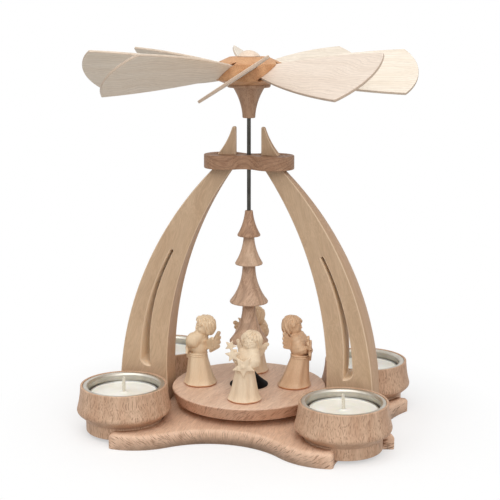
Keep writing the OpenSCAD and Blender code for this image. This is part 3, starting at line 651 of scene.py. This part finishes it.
def limb(p, a, b, ra, rb):
    """A bar with round ends from a to b, its radius going from ra to rb."""
    a, b = np.array(a, float), np.array(b, float)
    d = b - a
    t = np.clip(sum((p[i] - a[i]) * d[i] for i in range(3)) / float(d @ d), 0.0, 1.0)
    return np.sqrt(sum((p[i] - a[i] - t * d[i]) ** 2 for i in range(3))) - (ra + (rb - ra) * t)


def ring(p, centre, rx, ry, tube_r):
    x, y = (p[0] - centre[0]) / rx, (p[1] - centre[1]) / ry
    rho = (np.sqrt(x * x + y * y) - 1.0) * min(rx, ry)
    return np.sqrt(rho ** 2 + (p[2] - centre[2]) ** 2) - tube_r


def star_form(p, centre, radius, turn, thick):
    """A five-pointed star facing forward, raised along its ribs, with one point turned from straight down."""
    y, z, x = p[1] - centre[1], p[2] - centre[2], p[0] - centre[0]
    rho = np.hypot(y, z)
    angle = np.arctan2(z, y) + math.pi / 2 - math.radians(turn)
    sector = np.abs((angle + math.pi / 5) % (2 * math.pi / 5) - math.pi / 5)
    u, v = rho * np.cos(sector), rho * np.sin(sector)
    notch = 0.47 * radius
    nu, nv = notch * math.cos(math.pi / 5), notch * math.sin(math.pi / 5)
    du, dv = nu - radius, nv
    length = math.hypot(du, dv)
    flat = ((u - radius) * dv - v * du) / length
    swell = np.clip(-flat / (0.5 * radius), 0.0, 1.0) * 0.5
    return smooth_max(flat, np.abs(x) - (thick / 2 + swell * 0.6), 0.25)


def feather_form(p, root, sweep, lift, length, width, thick):
    """A long flat feather with a round tip and a keel, from its root at a sweep from the front and a lift."""
    cs, ss = math.cos(math.radians(sweep)), math.sin(math.radians(sweep))
    cl, sl = math.cos(math.radians(lift)), math.sin(math.radians(lift))
    q = [p[i] - root[i] for i in range(3)]
    along = q[0] * cs + q[1] * ss
    out = -q[0] * ss + q[1] * cs
    s = along * cl + q[2] * sl
    w = -along * sl + q[2] * cl
    t = np.clip(s / (length - width / 2), 0.0, 1.0)
    flat = np.hypot(s - t * (length - width / 2), w) - (width / 2) * (0.72 + 0.28 * t)
    keel = np.abs(w) * 0.12
    return smooth_max(flat, np.abs(out + 0.03 * s) - (thick / 2 - keel), 0.35)


def gown_form(p):
    """The gown: a hem that is undercut where it stands, broad soft folds, a belt ahead of its middle."""
    x, y, z = p
    up = np.clip(z / BELT_Z, 0.0, 1.0)
    dx, dy = x - BELT[0] * up, y - BELT[1] * up
    rho, angle = np.hypot(dx, dy), np.arctan2(dy, dx)
    radius = 5.15 + (BELT_Z - z) * 0.185 + 1.3 * np.exp(-np.clip(z - 0.9, 0, None) / 1.9)
    fold = 0.6 * np.cos(5 * angle + 0.5 + 0.3 * np.sin(z * 0.22)) + 0.4 * np.cos(9 * angle - 1.1 - 0.05 * z)
    radius = radius + fold * (0.46 * (1 - up) ** 0.6 + 0.1) * np.clip(z / 2.0, 0.15, 1.0)
    radius = radius - 1.0 * np.clip(0.9 - z, 0, 0.9)
    side = (rho - radius) * 0.82
    return smooth_max(smooth_max(side, -z, 0.15), z - BELT_Z - 0.5, 0.3)


def head_form(p, at, look):
    """A calm, round face of plain proportions under a chin-length bob with a side parting."""
    q = [(p[i] - at[i]) / HEAD_SIZE for i in range(3)]
    lean = math.radians(2)
    turn = math.radians(look)
    ct, st = math.cos(turn), math.sin(turn)
    q = [q[0] * ct + q[1] * st, -q[0] * st + q[1] * ct, q[2]]
    cl, sl = math.cos(lean), math.sin(lean)
    q = [q[0] * cl - q[2] * sl, q[1], q[2] * cl + q[0] * sl]
    skull = ellipsoid(q, (0.5, 0, -0.3), (4.3, 4.05, 4.75))
    jaw = ellipsoid(q, (1.7, 0, -2.4), (2.9, 2.9, 2.5))
    face = smooth_min(skull, jaw, 0.9)
    for side in (-1, 1):
        face = smooth_min(face, ellipsoid(q, (3.35, side * 1.75, -1.7), (1.15, 1.35, 1.25)), 0.5)
        face = smooth_max(face, -ellipsoid(q, (4.85, side * 1.6, -0.15), (0.75, 1.0, 0.6)), 0.35)
        face = smooth_min(face, ellipsoid(q, (4.15, side * 1.6, -0.25), (0.62, 0.8, 0.42)), 0.16)
        lid = limb(q, (4.85, side * 1.0, -0.5), (4.65, side * 2.2, -0.42), 0.13, 0.13)
        face = smooth_max(face, -lid, 0.08)
        face = smooth_min(face, limb(q, (4.55, side * 0.8, 0.75), (4.1, side * 2.3, 0.65), 0.28, 0.2), 0.35)
    face = smooth_min(face, limb(q, (4.7, 0, 0.3), (5.15, 0, -1.05), 0.3, 0.45), 0.35)
    face = smooth_min(face, ellipsoid(q, (4.6, 0, -2.35), (0.5, 0.85, 0.5)), 0.3)
    face = smooth_max(face, -limb(q, (5.15, -0.75, -2.35), (5.15, 0.75, -2.35), 0.13, 0.13), 0.1)
    face = smooth_min(face, ellipsoid(q, (4.0, 0, -3.9), (0.9, 0.9, 0.8)), 0.5)
    hair = ellipsoid(q, (-0.35, 0, 0.35), (5.35, 5.15, 5.0))
    hair = smooth_min(hair, ellipsoid(q, (-1.9, 0, -1.8), (3.4, 4.5, 4.0)), 1.6)
    hair = smooth_max(hair, -ellipsoid(q, (5.6, -0.2, -1.7), (4.8, 6.8, 4.5)), 0.9)
    for side in (-1, 1):
        hair = smooth_min(hair, limb(q, (-0.3, side * 4.1, 1.2), (-0.5, side * 3.7, -3.6), 1.35, 0.9), 1.1)
    hair = smooth_min(hair, limb(q, (3.0, -1.9, 3.9), (3.3, 3.2, 1.5), 0.75, 0.95), 0.8)
    hair = smooth_min(hair, limb(q, (2.9, -2.1, 3.8), (2.4, -3.7, 1.0), 0.7, 0.95), 0.7)
    rho = np.hypot(q[0] + 0.4, q[1] - 0.9)
    angle = np.arctan2(q[1] - 0.9, q[0] + 0.4)
    strand = np.sin(15 * angle + 2.6 * np.sin(0.55 * q[2] + 1.0)) + 0.5 * np.sin(27 * angle + 1.1 * q[2])
    hair = hair + 0.3 * strand * np.clip((rho - 0.6) / 2.0, 0.0, 1.0)
    return smooth_min(face, hair, 0.12) * HEAD_SIZE


def arm_form(p, shoulder, elbow, wrist, hand, sleeve, fingers):
    """A wide sleeve from shoulder to wrist, cut off straight, and a hand with four fingers."""
    form = smooth_min(limb(p, shoulder, elbow, *sleeve), limb(p, elbow, wrist, sleeve[1] - 0.4, 2.1), 0.8)
    reach = np.array(wrist, float) - np.array(elbow, float)
    reach = reach / np.linalg.norm(reach)
    beyond = sum((p[i] - wrist[i]) * reach[i] for i in range(3)) - 0.3
    form = smooth_max(form, beyond, 0.3)
    along = sum((p[i] - shoulder[i]) * (elbow[i] - shoulder[i]) for i in range(3)) / 5.0
    form = form + 0.13 * np.sin(2.3 * along + 0.9 * p[1]) * np.sin(0.5 * p[1] + 0.4 * p[0])
    form = smooth_min(form, limb(p, wrist, hand, 1.2, 1.1), 0.15)
    form = smooth_min(form, ellipsoid(p, hand, (1.15, 1.3, 1.3)), 0.25)
    for k in range(4):
        root = (hand[0] + 0.25, hand[1] + 0.62 * (k - 1.5), hand[2])
        tip = tuple(root[i] + fingers[i] for i in range(3))
        form = smooth_min(form, limb(p, root, tip, 0.42, 0.34), 0.12)
    return form


def wing_form(p, side, sweep, lift, length, fan, shift=(0, 0, 0)):
    """A narrow wing: four long feathers, the uppermost the longest, and three short ones over their roots.
    It is shifted forward, left and up."""
    p = tuple(p[i] - shift[i] for i in range(3))
    form = None
    for k in range(4):
        feather = feather_form(p, (-2.2, 1.4 + side * 1.2, 24.9 - 0.95 * k), side * (sweep + 3 * k),
                               lift - fan * k, length - 1.2 * k, 2.6, 1.35 - 0.1 * k)
        form = feather if form is None else smooth_min(form, feather, 0.1)
    for k in range(3):
        feather = feather_form(p, (-2.8, 1.4 + side * 1.4, 25.1 - 0.95 * k), side * (sweep + 6 + 3 * k),
                               lift + 2 - fan * k, 0.6 * length - 1.0 * k, 2.4, 1.6)
        form = smooth_min(form, feather, 0.1)
    return form


def angel_form(p, look, head, arm, trail, wings):
    """A standing angel. No two are carved alike: the head turns by look and moves forward, left and up, the
    left arm is raised by arm, and the right hand with the upper stars moves forward and up by the trail."""
    body = gown_form(p)
    chest = ellipsoid(p, (1.2, 1.3, 23.0), (4.9, 5.4, 6.3))
    chest = smooth_min(chest, ellipsoid(p, (-0.4, 2.2, 27.2), (3.6, 4.9, 3.1)), 1.4)
    body = smooth_min(body, chest, 0.8)
    for z, width in ((17.4, 0.45), (18.5, 0.5)):
        body = smooth_min(body, ring(p, (BELT[0], BELT[1], z), 5.2, 5.2, width), 0.15)
    top = tuple(HEAD[i] + head[i] for i in range(3))
    neck = limb(p, (-0.8, 2.6, 27.5), (top[0] + 0.5, top[1] - 0.5, top[2] - 2.5), 2.4, 2.3)
    body = smooth_min(body, neck, 0.6)
    body = smooth_min(body, ring(p, (-0.9, 2.8, 29.6), 2.8, 3.0, 0.55), 0.25)
    left = arm_form(p, (1.5, 4.6, 27.9 + 0.35 * arm), (4.3, 5.0, 23.2 + arm), (6.9, 3.4, 20.7 + 0.9 * arm),
                    (7.5, 2.2, 20.1 + 0.9 * arm), (3.7, 4.3), (0.4, -1.5, -0.5))
    body = smooth_min(body, left, 0.5 if arm else 1.6)
    x, z = trail
    right = arm_form(p, (0.4, -1.0, 27.2), (3.2, -2.6, 21.9), (5.6 + 0.5 * x, -4.2, 25.2 + 0.6 * z),
                     (6.3 + 0.9 * x, -4.8, 27.8 + 0.9 * z), (2.7, 2.6), (0.35, 0.1, 2.6))
    body = smooth_min(body, right, 1.2)
    for wing in wings:
        body = smooth_min(body, wing_form(p, *wing), 0.12)
    body = smooth_min(body, head_form(p, top, look), 0.3)
    low, mid, small = (8.2, 0.1, 21.2), (7.8 + x, -5.8, 27.6 + z), (6.8 + x, -7.1, 32.5 + z)
    for centre, radius, turn in ((low, 6.5, 0), (mid, 4.3, 43), (small, 3.4, 14)):
        body = smooth_min(body, star_form(p, centre, radius, turn, 1.4), 0.1)
    body = smooth_min(body, limb(p, (5.0, 0.3, 21.0), (7.9, 0.1, 21.2), 2.6, 1.8), 0.3)
    grip = limb(p, (6.4 + 0.9 * x, -4.9, 28.0 + 0.9 * z), (mid[0] - 0.3, mid[1], mid[2]), 0.9, 0.9)
    return smooth_min(body, grip, 0.3)


def surface(form, low, high, step):
    """Quads of the zero surface of a distance form, one vertex in each grid cell that the surface crosses.
    The form is worked out on every fourth point first, and on all points only near the surface."""
    coarse = [np.arange(low[i], high[i] + 4 * step, 4 * step) for i in range(3)]
    value = form(np.meshgrid(*coarse, indexing="ij"))
    axes = [low[i] + step * np.arange(4 * len(coarse[i])) for i in range(3)]
    for axis in range(3):
        value = np.repeat(value, 4, axis)
    close = np.abs(value) < 8 * step
    grid = np.meshgrid(*axes, indexing="ij")
    value[close] = form([a[close] for a in grid])
    inside = value < 0
    n = [len(a) for a in axes]
    total = np.zeros((n[0] - 1, n[1] - 1, n[2] - 1, 3))
    count = np.zeros((n[0] - 1, n[1] - 1, n[2] - 1))
    corners = [(i, j, k) for i in (0, 1) for j in (0, 1) for k in (0, 1)]

    def part(a, c):
        return a[tuple(slice(c[i], n[i] - 1 + c[i]) for i in range(3))]

    for a in corners:
        for axis in range(3):
            if a[axis]:
                continue
            b = list(a)
            b[axis] = 1
            va, vb = part(value, a), part(value, b)
            cross = part(inside, a) != part(inside, b)
            t = np.where(cross, va / np.where(cross, va - vb, 1.0), 0.0)
            for i in range(3):
                total[..., i] += np.where(cross, a[i] + (t if i == axis else 0.0), 0.0)
            count += cross
    used = count > 0
    index = np.full(used.shape, -1)
    index[used] = np.arange(int(used.sum()))
    cell = np.argwhere(used)
    verts = (cell + total[used] / count[used][:, None]) * step + np.array([a[0] for a in axes])
    quads = []
    for axis in range(3):
        u, v = (axis + 1) % 3, (axis + 2) % 3
        here = [slice(1, m - 1) for m in n]
        here[axis] = slice(0, n[axis] - 1)
        ahead = list(here)
        ahead[axis] = slice(1, n[axis])
        a, b = inside[tuple(here)], inside[tuple(ahead)]
        for outward, mask in ((True, a & ~b), (False, ~a & b)):
            at = np.argwhere(mask) + np.array([s.start for s in here])
            ring_of = []
            for du, dv in ((0, 0), (1, 0), (1, 1), (0, 1)):
                c = at.copy()
                c[:, u] -= 1 - du
                c[:, v] -= 1 - dv
                ring_of.append(index[c[:, 0], c[:, 1], c[:, 2]])
            quad = np.stack(ring_of, 1)
            quads.append(quad if outward else quad[:, ::-1])
    return verts, np.concatenate(quads)


def carved_angel(k, node, pale, deep, side=1, hem=0.0, look=LOOK, head=(0, 0, 0), arm=0.0, trail=(0, 0),
                 wings=WINGS):
    """An angel at its place on the platform, its hem moved forward. Side -1 is the mirror image."""
    verts, quads = surface(lambda p: angel_form(p, look, head, arm, trail, wings), *ANGEL_BOX, ANGEL_STEP)
    x, y, z = verts.T
    z = np.clip(z, 0.02, None)
    x = x + hem * np.clip(1 - z / BELT_Z, 0, 1) + ANGEL_RING
    y = side * y
    turn = math.radians(ROTOR_START + 90 * k)
    moved = np.stack([x * math.cos(turn) - y * math.sin(turn), x * math.sin(turn) + y * math.cos(turn),
                      z + PLATFORM_TOP], 1)
    material = carved_wood(node + "_wood", pale, deep, (40 * k, 25 * k, 10 * k))
    faces = quads[:, ::side].tolist()
    make(node + "_carved", moved.tolist(), faces, material, "spindle", node, "carved_wood")


carved_angel(0, "angel_front", rgb(238, 218, 190), rgb(222, 192, 158), head=(2.0, 0, -1.2))
carved_angel(1, "angel_right", rgb(224, 190, 156), rgb(206, 164, 126), hem=-1.2, trail=(0.4, -4.0))
carved_angel(2, "angel_back", rgb(232, 206, 174), rgb(216, 182, 146), -1, trail=(0, -4.0), head=(0, -2.6, 0),
             wings=((1, 121, 25, 11.0, 3, (0, -2.1, 0.5)), (-1, 110, 35, 12.6, 6, (0, -1.6, -0.6))))
carved_angel(3, "angel_left", rgb(234, 210, 178), rgb(218, 186, 150), hem=1.1, trail=(-3.0, -3.0), look=24,
             head=(0, 0, 0.9), arm=3.8, wings=(WINGS[0], (*WINGS[1], (-2.8, 0, -2.6))))


# Floor, light and camera

FLOOR_HALF, FLOOR_Z = 6.0, -0.0002
# Distances from the middle between which the floor goes over to plain white.
FLOOR_FADE = 0.1, 0.155
WHITE = (1.0, 1.0, 1.0, 1.0)
WORLD_LIGHT = 0.5
# Each lamp's place, the point that it is aimed at, its size and its power.
LAMPS = {"key": ((-0.4, -0.72, 1.15), (0, 0, 0.08), 1.3, 5.0),
         "fill": ((0.5, -1.0, 0.75), (0, 0, 0.08), 0.8, 5.4),
         "top": ((0.1, -0.1, 1.4), (0, 0, 0.1), 1.4, 4.7)}
CAMERA_AT = 0.15583, -0.62795, 0.22928
CAMERA_DOWN, CAMERA_TURN = 11.429, 13.937
CAMERA_LENS, CAMERA_SHIFT = 84.331, 0.0022


def grey(level):
    return (level, level, level, 1.0)


def stage_floor():
    """A pale floor with the object's shadow on it, white where it lies far from the object."""
    g = Graph("floor")
    here = g.add("ShaderNodeTexCoord").outputs["Object"]
    dust = g.spread(g.noise(here, 3.0, 0.6, 9.0), 0.3, 0.7)
    path = g.add("ShaderNodeLightPath").outputs
    seen = g.math("MAXIMUM", path["Is Camera Ray"], path["Is Glossy Ray"])
    seen = g.math("MAXIMUM", seen, path["Is Transmission Ray"])
    bounce = g.mix(dust, grey(0.57), grey(0.53))
    pale = g.mix(dust, WHITE, grey(0.97))
    near = g.add("ShaderNodeBsdfDiffuse", {"Color": g.mix(seen, bounce, pale)})
    white = g.add("ShaderNodeEmission", {"Color": WHITE, "Strength": 1.0})
    reach = g.add("ShaderNodeVectorMath", {0: here}, operation="LENGTH").outputs["Value"]
    far = g.math("MULTIPLY", g.spread(reach, *FLOOR_FADE, 0.5, 1.0), seen)
    blend = g.add("ShaderNodeMixShader", {0: far, 1: near.outputs[0], 2: white.outputs[0]})
    g.add("ShaderNodeOutputMaterial", {0: blend.outputs[0]})
    mesh = bpy.data.meshes.new("floor")
    corners = [(x * FLOOR_HALF, y * FLOOR_HALF, FLOOR_Z) for x, y in ((-1, -1), (1, -1), (1, 1), (-1, 1))]
    mesh.from_pydata(corners, [], [(0, 1, 2, 3)])
    mesh.materials.append(g.mat)
    floor = bpy.data.objects.new("floor", mesh)
    bpy.context.scene.collection.objects.link(floor)


def lamp(name, at, aim, size, power):
    data = bpy.data.lights.new(name, "AREA")
    data.shape = "DISK"
    data.size = size
    data.energy = power
    light = bpy.data.objects.new(name, data)
    light.location = at
    light.rotation_euler = (Vector(aim) - Vector(at)).to_track_quat("-Z", "Y").to_euler()
    bpy.context.scene.collection.objects.link(light)


def background(tree, strength):
    node = tree.nodes.new("ShaderNodeBackground")
    node.inputs["Color"].default_value = WHITE
    node.inputs["Strength"].default_value = strength
    return node.outputs[0]


def studio():
    """A soft white world, which the camera, metal and glass see as plain white."""
    world = bpy.data.worlds.new("studio")
    bpy.context.scene.world = world
    world.use_nodes = True
    tree = world.node_tree
    tree.nodes.clear()
    path = tree.nodes.new("ShaderNodeLightPath")
    mix = tree.nodes.new("ShaderNodeMixShader")
    out = tree.nodes.new("ShaderNodeOutputWorld")
    seen = path.outputs["Is Camera Ray"]
    for ray in ("Is Glossy Ray", "Is Transmission Ray"):
        both = tree.nodes.new("ShaderNodeMath")
        both.operation = "MAXIMUM"
        tree.links.new(seen, both.inputs[0])
        tree.links.new(path.outputs[ray], both.inputs[1])
        seen = both.outputs[0]
    tree.links.new(seen, mix.inputs[0])
    tree.links.new(background(tree, WORLD_LIGHT), mix.inputs[1])
    tree.links.new(background(tree, 1.0), mix.inputs[2])
    tree.links.new(mix.outputs[0], out.inputs[0])
    for name, values in LAMPS.items():
        lamp(name, *values)


def camera():
    data = bpy.data.cameras.new("camera")
    data.sensor_width = 36.0
    data.lens = CAMERA_LENS
    data.shift_x = CAMERA_SHIFT
    data.clip_start, data.clip_end = 0.01, 50.0
    cam = bpy.data.objects.new("camera", data)
    cam.location = CAMERA_AT
    cam.rotation_euler = turned_by(90 - CAMERA_DOWN, 0, CAMERA_TURN)
    bpy.context.scene.collection.objects.link(cam)
    bpy.context.scene.camera = cam


stage_floor()
studio()
camera()
bpy.context.scene.view_settings.view_transform = "Standard"
